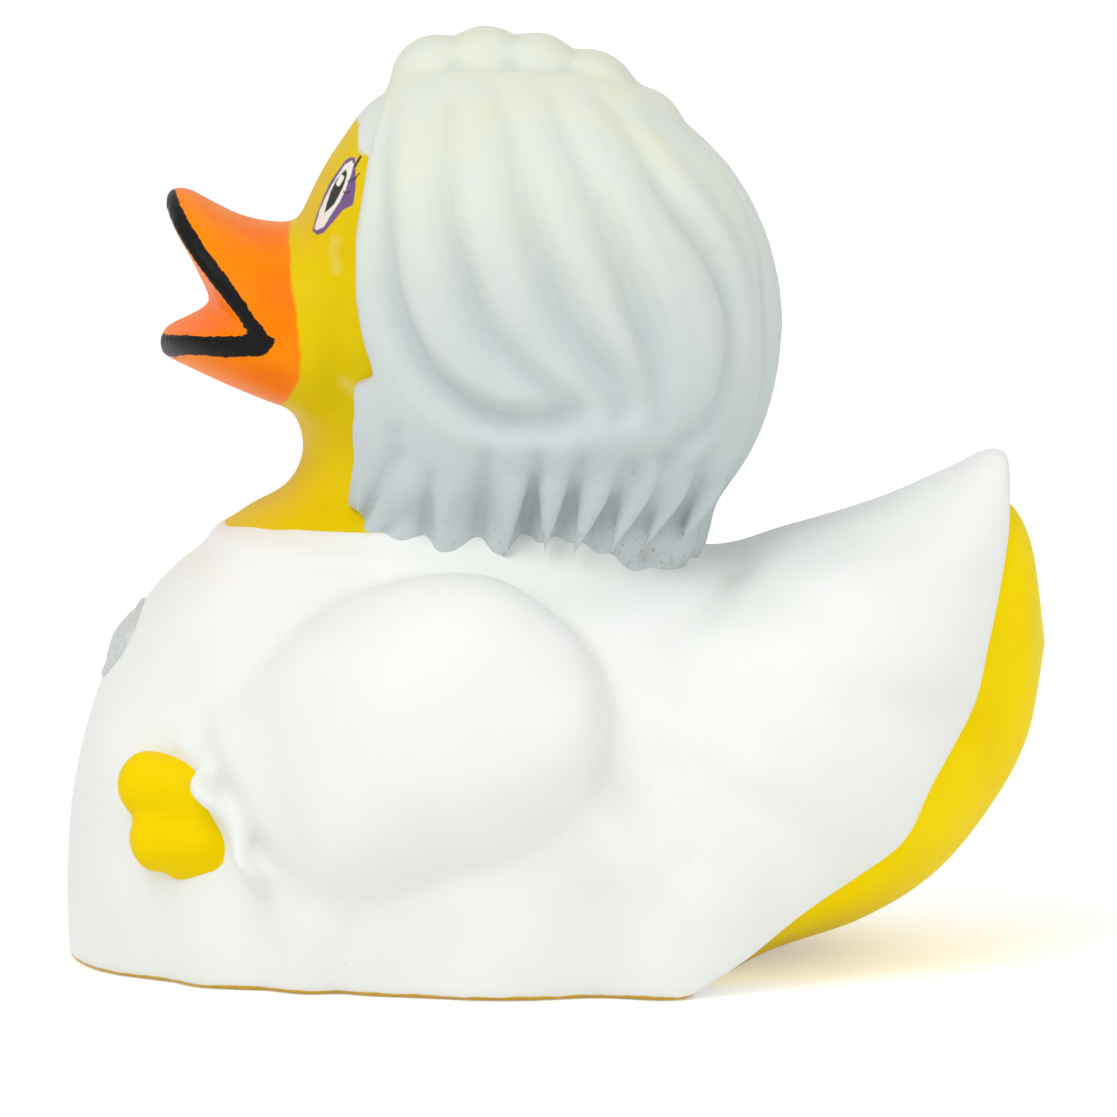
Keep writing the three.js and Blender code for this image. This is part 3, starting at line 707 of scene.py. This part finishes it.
class Finish:
    """A material, and the nodes in it."""

    def __init__(self, name):
        self.material = bpy.data.materials.new(name)
        self.material.use_nodes = True
        self.tree = self.material.node_tree
        self.tree.nodes.clear()
        self.place = self.node("ShaderNodeTexCoord", {}, {}).outputs["Object"]

    def node(self, kind, settings, values):
        node = self.tree.nodes.new(kind)
        for key, value in settings.items():
            setattr(node, key, value)
        for key, value in values.items():
            socket = node.inputs[key]
            if isinstance(value, Number):
                self.tree.links.new(value.socket, socket)
            elif isinstance(value, bpy.types.NodeSocket):
                self.tree.links.new(value, socket)
            else:
                socket.default_value = value
        return node

    def height(self):
        """How high a place on the piece is, in mm."""
        node = self.node("ShaderNodeSeparateXYZ", {}, {0: self.place})
        return Number(self, node.outputs["Z"]) * (1 / MM)

    def noise(self, size, detail=3.0, offset=0.0):
        """Noise about 0.5, with patches about size mm wide."""
        place = {"Vector": self.place, "Location": (offset, offset * 0.7, -offset)}
        moved = self.node("ShaderNodeMapping", {}, place).outputs[0]
        values = {"Vector": moved, "Scale": 1 / (size * MM), "Detail": detail, "Roughness": 0.55}
        return Number(self, self.node("ShaderNodeTexNoise", {}, values).outputs[0])

    def stored(self, name):
        """What a piece's points store under a name."""
        node = self.node("ShaderNodeAttribute", {"attribute_name": name}, {})
        return Number(self, node.outputs["Fac"])

    def mix(self, share, a, b):
        """Colour a where share is 0, and b where it is 1."""
        node = self.node("ShaderNodeMix", {"data_type": "RGBA"}, {0: share, 6: a, 7: b})
        return node.outputs[2]

    def surface(self, colour, roughness, relief, strength, depth, shine=0.5):
        """The finished material, with a fine relief that is depth mm deep."""
        bumps = {"Strength": strength, "Distance": depth * MM, "Height": relief}
        normal = self.node("ShaderNodeBump", {}, bumps).outputs[0]
        values = {"Base Color": colour, "Roughness": roughness, "Specular IOR Level": shine, "Normal": normal}
        shader = self.node("ShaderNodeBsdfPrincipled", {}, values)
        self.node("ShaderNodeOutputMaterial", {}, {"Surface": shader.outputs[0]})
        return self.material


YELLOW = srgb(254, 226, 0)
YELLOW_DEEP = srgb(245, 210, 0)
HAND_YELLOW = srgb(242, 210, 0)
# The face and neck in a darker yellow than the rump's, though the vinyl is the same: painted shade.
SHADED_FACE_YELLOW = srgb(230, 202, 0)
SHADED_FACE_YELLOW_DEEP = srgb(219, 188, 0)
SMEAR = srgb(226, 208, 92)
ORANGE = srgb(255, 140, 0)
ORANGE_DEEP = srgb(252, 119, 0)
BLACK = srgb(20, 20, 20)
LIP_WEAR = srgb(42, 41, 40)
GOWN_WHITE = srgb(241, 243, 239)
GOWN_SHADE = srgb(227, 230, 224)
HAIR_GREY = srgb(194, 204, 206)
HAIR_PALE = srgb(220, 226, 219)
HAIR_CREAM = srgb(225, 228, 200)
# Painted shade for the dips between the locks.
HAIR_DIP_SHADE = srgb(166, 178, 186)
# Brown: grime in specks, and also painted shade in the gown's creases and between the hair's tips.
GRIME_AND_CREASE_SHADE = srgb(160, 138, 112)
HEM_EDGE = srgb(214, 168, 24)
# The coats of paint on each eye, the first one lowest.
EYE_COATS = [
    ("eye_shadow", srgb(120, 90, 140)),
    ("eye_white", srgb(238, 235, 226)),
    ("pupil", srgb(52, 54, 50)),
    ("glint", srgb(238, 238, 230)),
    ("lashes", srgb(60, 44, 60)),
]


def body_yellow(name, light, deep):
    """Bare vinyl, mottled between two yellows."""
    finish = Finish(name)
    mottle = finish.noise(9.0).ramp(0.35, 0.7)
    grain = finish.noise(0.35, 2.0)
    colour = finish.mix(mottle * 0.6, light, deep)
    return finish.surface(colour, 0.42 + grain * 0.08, grain, 0.25, 0.03, shine=0.03)


def face_paint():
    """Yellow vinyl, darker than the rump's as painted shade, with the bill's orange, the black lips and the
    eyes, all in paint.
    """
    finish = Finish("face_paint")
    wobble = finish.noise(2.2, 3.0) - 0.5
    fine = finish.noise(0.5, 2.0) - 0.5
    mottle = finish.noise(8.0).ramp(0.35, 0.7)
    grain = finish.noise(0.35, 2.0)
    # Darker yellow than the rump's as painted shade, mottled at random.
    base = finish.mix(mottle * 0.6, SHADED_FACE_YELLOW, SHADED_FACE_YELLOW_DEEP)
    smear = (finish.stored("smears") + wobble * 1.2).ramp(0.3, -0.4)
    base = finish.mix(smear * 0.7, base, SMEAR)
    hairline = (finish.stored("hairline") + wobble * 0.6 + fine * 0.5).ramp(0.15, -0.15)
    base = finish.mix(hairline, base, HAIR_PALE)
    bill = (finish.stored("bill") + wobble * 0.5 + fine * 0.15).ramp(-0.15, 0.2)
    orange = finish.mix(finish.noise(6.0, offset=3.0).ramp(0.35, 0.7), ORANGE, ORANGE_DEEP)
    base = finish.mix(bill, base, orange)
    lips = (finish.stored("lips") + wobble * 0.5 + fine * 0.35).ramp(0.06, -0.06)
    base = finish.mix(lips, base, finish.mix(grain.ramp(0.3, 0.8) * 0.5, BLACK, LIP_WEAR))
    for part, paint in EYE_COATS:
        coat = (finish.stored(part) + fine * 0.1).ramp(0.05, -0.05)
        base = finish.mix(coat, base, paint)
    roughness = 0.42 + grain * 0.08 - bill * 0.06
    relief = grain * 0.02 + lips * 0.05
    return finish.surface(base, roughness, relief, 0.6, 1.0, shine=0.08)


def gown_paint():
    """White paint with specks of grime, painted shade darkening its creases, and yellow vinyl bare under its
    lowest edge.
    """
    finish = Finish("gown_paint")
    z = finish.height()
    wobble = finish.noise(3.0, 3.0) - 0.5
    dip = finish.stored("dip")
    broad = finish.noise(16.0, 2.0).ramp(0.35, 0.7)
    colour = finish.mix(broad * 0.5, GOWN_WHITE, GOWN_SHADE)
    speck = finish.noise(0.45, 2.0).ramp(0.7, 0.76) * finish.noise(9.0, offset=5.0).ramp(0.5, 0.7)
    # Specks of grime, and painted shade in the creases, deepest where they are sharpest.
    colour = finish.mix(speck * 0.3 + dip.ramp(0.3, 1.0) * 0.12, colour, GRIME_AND_CREASE_SHADE)
    base = (z + wobble * 0.5).ramp(0.45, 0.35)
    colour = finish.mix(base, colour, HEM_EDGE)
    colour = finish.mix(z.ramp(0.12, 0.05), colour, YELLOW)
    grain = finish.noise(0.3, 3.0)
    return finish.surface(colour, 0.5 + grain * 0.1, grain + finish.noise(1.4) * 0.6, 0.35, 0.04)


def hair_paint():
    """Silver grey, cream towards the crown, with painted shade in the dips between its locks, and specks of
    grime and painted shade where the tips meet the gown.
    """
    finish = Finish("hair_paint")
    z = finish.height()
    dip = finish.stored("dip")
    broad = finish.noise(12.0, 3.0)
    up = (z + broad * 14.0).ramp(50.0, 84.0)
    colour = finish.mix(up, HAIR_GREY, HAIR_PALE)
    cream = (z + broad * 22.0).ramp(72.0, 90.0) * finish.noise(7.0, offset=2.0).ramp(0.3, 0.7)
    colour = finish.mix(cream * 0.8, colour, HAIR_CREAM)
    # Painted shade: the hair darkens in its dips.
    colour = finish.mix(dip.ramp(0.0, 0.9) * 0.3, colour, HAIR_DIP_SHADE)
    low = (z * -1.0).ramp(-43.0, -38.6)
    speck = finish.noise(0.4, 2.0).ramp(0.6, 0.72) * low
    # Specks of grime low on the tips, and painted shade in the gaps between them.
    colour = finish.mix(speck * 0.7 + dip.ramp(0.1, 1.0) * low * 0.3, colour, GRIME_AND_CREASE_SHADE)
    grain = finish.noise(0.25, 3.0)
    return finish.surface(colour, 0.55 + grain * 0.1, grain + finish.noise(1.0) * 0.5, 0.35, 0.04)


def brooch_paint():
    finish = Finish("brooch_paint")
    grain = finish.noise(0.5, 3.0)
    colour = finish.mix(grain.ramp(0.35, 0.7), srgb(194, 200, 198), srgb(214, 218, 214))
    return finish.surface(colour, 0.4 + grain * 0.15, grain, 0.4, 0.05)


# The head: face, neck and open bill


def mouth_side(points):
    """How far a place lies outside the open mouth, past its upper or its lower plane, in the side view."""
    bow = ((points[:, 0] / MOUTH_CHEEK_X) ** 2)[:, None]
    corner = MOUTH_CORNER + (MOUTH_CHEEK - MOUTH_CORNER) * bow
    place = points[:, 1:] - corner

    def past(tip, hand):
        along = tip - corner
        along = along / np.linalg.norm(along, axis=1)[:, None]
        return hand * (place[:, 1] * along[:, 0] - place[:, 0] * along[:, 1])

    return past(UPPER_TIP, -1.0), past(LOWER_TIP, 1.0)


def mouth_wedge():
    """What the open mouth cuts out of the bill: a wedge whose corners run back to the cheeks."""
    reach = 1.6  # past the tips of the bill
    rings = []
    for x in np.linspace(-18, 18, 61):
        corner = MOUTH_CORNER + (MOUTH_CHEEK - MOUTH_CORNER) * (x / MOUTH_CHEEK_X) ** 2
        outline = [corner, corner + (UPPER_TIP - corner) * reach, corner + (LOWER_TIP - corner) * reach]
        rings.append([(x, y, z) for y, z in outline])
    rings = np.array(rings)
    return new_object("mouth", *skin(rings, rings[0].mean(0), rings[-1].mean(0)))


def lip_line():
    """Points along the edge where the mouth breaks through the bill's skin."""
    points, _ = form(BILL, 400, 720, BODY_SQUARENESS)
    rings = points[1:-1].reshape(399, 720, 3)
    found = []
    upper, lower = (v.reshape(399, 720) for v in mouth_side(rings.reshape(-1, 3)))
    for a, b in ((upper, lower), (lower, upper)):
        nxt, other = np.roll(a, -1, axis=1), b
        hit = (a * nxt < 0) & (other < 0.05) & (rings[..., 1] < -20)
        share = (a / (a - nxt))[..., None]
        place = rings + (np.roll(rings, -1, axis=1) - rings) * share
        found.append(place[hit])
    return np.vstack(found)


def behind_bill(points):
    """The cheeks, which run on smoothly from the bill."""
    x, y, z = points.T
    return smooth(5, 9, np.abs(x)) * smooth(-27, -24, y) * smooth(46, 51, z) * (1 - smooth(62, 67, z))


def beside_eye(points):
    x, y, z = points.T
    return (np.abs(x) > 6) & (np.abs(x) < 13) & (y > -22.6) & (y < -17) & (z > 66.6) & (z < 74.8)


def past_outline(points, ring):
    """How far each point of a flat drawing lies outside a closed outline, below 0 inside it."""
    ring = np.asarray(ring, float)
    off, _ = off_path(points, np.vstack([ring, ring[:1]]))
    inside = np.zeros(len(points), bool)
    for a, b in zip(ring, np.roll(ring, -1, axis=0)):
        spans = (a[1] > points[:, 1]) != (b[1] > points[:, 1])
        reach = a[0] + (points[:, 1] - a[1]) * (b[0] - a[0]) / (b[1] - a[1] + 1e-12)
        inside ^= spans & (points[:, 0] < reach)
    return np.where(inside, -off, off)


def past_strokes(points, strokes):
    """How far each point of a flat drawing lies outside the nearest of some strokes, below 0 inside it."""
    return np.min([off_path(points, path)[0] - radius for radius, path in strokes], axis=0)


def paint_eyes(head):
    """Stores how far each point lies outside each coat of paint on the eyes, in mm."""
    co = built(places(head.data)) / MM
    near = beside_eye(co)
    side = co[near][:, 1:]
    coats = [past_outline(side, ring) for ring in (EYE_SHADOW, EYE_WHITE, PUPIL)]
    coats += [past_strokes(side, strokes) for strokes in (GLINT, LASHES)]
    for (name, _), coat in zip(EYE_COATS, coats):
        off = np.full(len(co), 5.0)
        off[near] = coat
        keep(head, name, off)


def make_head():
    bill = cut(new_object("bill", *form(BILL, 120, 200, BODY_SQUARENESS)), mouth_wedge(), "DIFFERENCE")
    skull = new_object("skull", *form(HEAD, 140, 200, BODY_SQUARENESS))
    head = fused(joined("head", [skull, bill]), HEAD_GRAIN)
    soften(head, 5, 0.5, 0.5)
    soften(head, 30, 0.06, 0.5)
    soften(head, 90, 0.25, 0.5, behind_bill)
    refine(head, beside_eye, 3)
    co = places(head.data) / MM
    edge_z = [45, 49.4, 50.6, 51.8, 53.9, 56, 58.1, 59.5, 63.4, 65.7, 67.6, 75]
    edge_y = [-40, -40, -25.2, -24, -22.9, -22.7, -22.8, -23, -23.6, -23.8, -24, -24.2]
    keep(head, "bill", np.interp(co[:, 2], edge_z, edge_y) - co[:, 1])
    paint_eyes(head)
    lips = lip_line()
    tree = KDTree(len(lips))
    for i, place in enumerate(lips):
        tree.insert(place, i)
    tree.balance()
    off = np.array([tree.find(place)[2] for place in co])
    side = np.maximum(*mouth_side(co))
    outer = side > 0.3 * off
    lower = co[:, 2] < 58
    corner = 0.3 * smooth(-29.5, -26.5, co[:, 1])
    keep(head, "lips", off - np.where(outer, np.where(lower, 2.2, 1.5) - corner, 0.35))
    edge = np.interp(np.abs(co[:, 0]), [0, 5, 7, 9, 12], [76.8, 76.4, 75.4, 74.4, 73.9])
    keep(head, "hairline", edge - co[:, 2])
    keep(head, "smears", past_strokes(co[:, 1:], SMEARS))
    return head


# The gown with its sleeves and frills


def folded(points, folds, steps=14, broad=1.0, rise=0.15):
    """How far folds raise or sink each place, in the side view. They rise over their first share."""
    side = points[:, 1:]
    total = np.zeros(len(points))
    for height, start, end, path in folds:
        off, share = off_path(side, curve(path, steps))
        width = (start + (end - start) * share) * broad
        fade = smooth(0, rise, share) * 0.6 + 0.4
        total += height * fade * np.exp(-((off / width) ** 2))
    return total


def gown_relief(points):
    return folded(points, FOLDS) * smooth(4, 10, np.abs(points[:, 0]))


def behind_hem(points):
    """How far behind the gown's hem each place lies in the side view, below 0 where the gown covers it."""
    side = points[:, 1:]
    hem = curve(HEM, 60)
    off, share = off_path(side, hem)
    place = share * (len(hem) - 1)
    i = np.minimum(place.astype(int), len(hem) - 2)
    step = hem[i + 1] - hem[i]
    away = side - hem[i]
    return off * np.sign(step[:, 1] * away[:, 0] - step[:, 0] * away[:, 1])


def rump_relief(points):
    """The body gives way under the gown's dips, so the gown covers it."""
    under = 1 - smooth(-0.5, 2.5, behind_hem(points))
    return np.minimum(gown_relief(points), 0) * under - 0.5 * (1 - smooth(-2, -0.6, behind_hem(points)))


def side_slab(name, outline, half=80):
    """A slab with an outline in the side view, right through the duck."""
    ring = np.array(outline, float)
    count = len(ring)
    points = np.vstack([np.column_stack([np.full(count, x), ring]) for x in (-half, half)])
    faces = [tuple(range(count))[::-1], tuple(range(count, 2 * count))]
    faces += [(i, (i + 1) % count, count + (i + 1) % count, count + i) for i in range(count)]
    return new_object(name, points, faces)


def hem_slab():
    hem = curve(HEM, 120)
    return side_slab("hem", [(-70, 0), *hem.tolist(), (41.9, 90), (-70, 90)])


def frill(hand):
    """A wavy ring of cloth round a cuff, square to the forearm."""
    arm = FRILL_ARM / np.linalg.norm(FRILL_ARM)
    side = np.cross(np.cross((1, 0, 0), arm), arm)
    side /= np.linalg.norm(side)
    up = np.cross(side, arm)
    turn = np.linspace(0, 2 * np.pi, 181)[:-1]
    wave = FRILL_WAVE * np.cos(FRILL_WAVES * turn)
    rings = []
    for inset, off in [(0.6, -0.8), (0.85, -0.9), (0.97, -0.6), (1, 0), (0.97, 0.6), (0.85, 0.8), (0.6, 0.6)]:
        ring = FRILL_CENTRE + ((FRILL_TALL + wave) * inset * np.cos(turn))[:, None] * up
        across = ((FRILL_WIDE + wave) * inset * np.sin(turn))[:, None] * side
        ring += across + (off + 0.8 * inset * wave)[:, None] * arm
        rings.append(ring)
    rings = np.array(rings)
    points, faces = skin(rings, rings[0].mean(0), rings[-1].mean(0))
    return new_object("frill", points * (hand, 1, 1), faces)


def sleeve(hand):
    points, faces = form(SLEEVE, 90, 160)
    return new_object("sleeve", points * (hand, 1, 1), faces)


def make_gown():
    cloth = new_object("cloth", *form(GOWN, 300, 420, BODY_SQUARENESS, 0.4, gown_relief))
    cut(cloth, hem_slab(), "INTERSECT")
    collar = new_object("collar", *form(HEAD, 120, 200, BODY_SQUARENESS, 0.2))
    cut(collar, side_slab("neckline", [(-70, 10), *NECKLINE, (20, 10)]), "INTERSECT")
    parts = [cloth, collar, sleeve(1), sleeve(-1), frill(1), frill(-1)]
    gown = fused(joined("gown", parts), GOWN_GRAIN)
    soften(gown, 3, 0.5, 0.5)
    soften(gown, 30, 0.05, 0.5)
    soften(gown, 40, 0.1, 0.5, beside_frill)
    cut(gown, vent(), "DIFFERENCE")
    keep_dips(gown)
    return gown


def vent():
    """A plug the size of the round hole in the base, to cut it with."""
    turn = np.linspace(0, 2 * np.pi, 49)[:-1]
    ring = np.column_stack([VENT_RADIUS * np.cos(turn), VENT_Y + VENT_RADIUS * np.sin(turn), np.zeros(48)])
    rings = np.array([ring - (0, 0, 2), ring + (0, 0, VENT_DEPTH)])
    return new_object("vent", *skin(rings, rings[0].mean(0), rings[-1].mean(0)))


def beside_frill(points):
    """Round the cuffs, where the moulding fills the creases behind the frill."""
    off = [np.linalg.norm(points - FRILL_CENTRE * (hand, 1, 1), axis=1) for hand in (1, -1)]
    return 1 - smooth(10, 14, np.minimum(*off))


def make_rump():
    rump = new_object("rump", *form(RUMP, 260, 320, BODY_SQUARENESS, 0.0, rump_relief))
    cut(rump, side_slab("ground", [(-70, 0), (70, 0), (70, 90), (-70, 90)]), "INTERSECT")
    return rump


def make_hands(finish):
    lines = []
    for hand in (1, -1):
        for radius, path in FINGERS:
            line, size = tapered(path, radius, root=0.15, tip=0.15, power=0.5)
            lines.append((line * (hand, 1, 1), size))
    hands = fused(strands("hands", lines, finish), HAND_GRAIN)
    return soften(hands, 26, 0.25, 0.5)


# Hair


def hair_half_width(y, z):
    """Half width of the hair's mass at a place in the side view, so that a lock can lie on it."""
    row = row_at(HAIR, np.arange(0.02, 0.99, 0.005))
    share = np.clip((y - row[:, 0]) / (row[:, 2] - row[:, 0]), 0.12, 0.92)
    off = np.abs(row[:, 1] + (row[:, 3] - row[:, 1]) * share - z)
    best = int(np.argmin(off))
    return row[best, 4] * (1 - abs(2 * share[best] - 1) ** HAIR_SQUARENESS) ** (1 / HAIR_SQUARENESS)


def hair_relief(points):
    x, y, z = points.T
    back = smooth(9, 15, y)
    spread = np.interp(z, [36, 55, 62, 80], [0.85, 1.1, 1.1, 0.4])
    nape = sum(bump(np.abs(x), at * spread, 1.0) for at in (0, 4.2, 8.6))
    beside = smooth(2, 7, np.abs(x))
    return 1.7 * folded(points, LOCKS, 24, 1.15, 0.6) * beside - 1.1 * nape * back


def make_hair(finish):
    mass = new_object("mass", *form(HAIR, 300, 460, HAIR_SQUARENESS, 0.9, hair_relief))
    cut(mass, side_slab("face", [*HAIR_FRONT, (40, 30), (40, 90)]), "INTERSECT")
    lines = []
    for radius, path in TIPS:
        for hand in (1, -1):
            last = len(path) - 1
            laid = []
            for i, (y, z) in enumerate(path):
                laid.append((hand * (hair_half_width(y, z) - 1.2 + 2.0 * i / last), y, z))
            lines.append(tapered(laid, radius, root=0.45, tip=0.85, power=0.95))
    for y, top, radius in CROWN_ROLLS:
        mid = top - radius
        over = [
            (PARTING_X, y, mid - 1.6), (0, y, mid), (-7, y + 0.8, mid - 1.8), (-13, y + 2, mid - 6),
            (-17.4, y + 3.6, mid - 13),
        ]
        lines.append(tapered(over, radius, root=0.12, tip=0.4))
    hair = fused(joined("hair", [mass, strands("locks", lines, finish)]), HAIR_GRAIN)
    soften(hair, 2, 0.5, 0.4)
    soften(hair, 12, 0.4, 0.1, above_tips)
    keep_dips(hair)
    return hair


def above_tips(points):
    """The hair above its pointed tips, which stay sharp."""
    return 0.35 + 0.65 * smooth(44, 50, points[:, 2])


def make_brooch():
    """A plain oval brooch with a rim, which leans back on the chest."""
    turn = np.linspace(0, 2 * np.pi, 97)[:-1]
    rings = []
    for inset, off in BROOCH_RINGS:
        x = BROOCH_HALF_WIDTH * inset * np.cos(turn)
        tall = BROOCH_HALF_HEIGHT * inset * np.sin(turn)
        y = off * math.cos(BROOCH_LEAN) - tall * math.sin(BROOCH_LEAN)
        z = off * math.sin(BROOCH_LEAN) + tall * math.cos(BROOCH_LEAN)
        rings.append(np.column_stack([x, y, z]) + BROOCH_CENTRE)
    rings = np.array(rings)
    ends = [rings[0].mean(0), rings[-1].mean(0) + (0, -0.15, 0.05)]
    return new_object("brooch", *skin(rings, *ends))


def finish_piece(piece, material):
    put_places(piece.data, built(places(piece.data)))
    piece.data.materials.clear()
    piece.data.materials.append(material)
    for polygon in piece.data.polygons:
        polygon.use_smooth = True
    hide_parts("duck")
    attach(piece, "root")


# Floor, lamps and world


FLOOR_GAP = 0.02  # keeps the floor and the base apart


def make_stage():
    finish = Finish("floor_paper")
    grain = finish.noise(60.0)
    colour = finish.mix(grain, srgb(244, 244, 244), srgb(248, 248, 248))
    values = {"Base Color": colour, "Roughness": 0.9, "Specular IOR Level": 0.1}
    shader = finish.node("ShaderNodeBsdfPrincipled", {}, values)
    path = finish.node("ShaderNodeLightPath", {}, {})
    seen = Number(finish, path.outputs["Is Camera Ray"]).most(Number(finish, path.outputs["Is Glossy Ray"]))
    glow = finish.node("ShaderNodeEmission", {}, {"Strength": seen * 0.34})
    both = finish.node("ShaderNodeAddShader", {}, {0: shader.outputs[0], 1: glow.outputs[0]})
    finish.node("ShaderNodeOutputMaterial", {}, {"Surface": both.outputs[0]})
    side = 8000
    corners = [(x * side, y * side, -FLOOR_GAP) for x, y in ((-1, -1), (1, -1), (1, 1), (-1, 1))]
    floor = new_object("floor", corners, [(0, 1, 2, 3)])
    floor.data.materials.append(finish.material)


def area_lamp(name, place, aim, size, power):
    data = bpy.data.lights.new(name, "AREA")
    data.shape = "RECTANGLE"
    data.size, data.size_y = size
    data.energy = power
    lamp = bpy.data.objects.new(name, data)
    bpy.context.scene.collection.objects.link(lamp)
    lamp.location = place
    lamp.rotation_euler = (Vector(place) - Vector(aim)).to_track_quat("Z", "Y").to_euler()


def make_light():
    world = bpy.data.worlds.new("studio")
    bpy.context.scene.world = world
    world.use_nodes = True
    nodes = world.node_tree.nodes
    nodes["Background"].inputs["Color"].default_value = (1, 1, 1, 1)
    nodes["Background"].inputs["Strength"].default_value = 0.72
    middle = (0, 0, 0.04)
    area_lamp("key", (0.55, -0.35, 0.75), middle, (0.5, 0.5), 3.0)
    area_lamp("fill", (0.6, 0.6, 0.3), middle, (0.5, 0.5), 0.8)
    bpy.context.scene.view_settings.view_transform = "Standard"


# Assembly

yellow = body_yellow("yellow_vinyl", YELLOW, YELLOW_DEEP)
hand_finish = body_yellow("hand_vinyl", HAND_YELLOW, YELLOW_DEEP)
hair_finish = hair_paint()
pieces = {
    "head": (make_head(), face_paint()),
    "gown": (make_gown(), gown_paint()),
    "rump": (make_rump(), yellow),
    "hands": (make_hands(hand_finish), hand_finish),
    "hair": (make_hair(hair_finish), hair_finish),
    "brooch": (make_brooch(), brooch_paint()),
}
for piece, material in pieces.values():
    finish_piece(piece, material)
    print(piece.name, len(triangles(piece.data)), "triangles")
make_stage()
make_light()
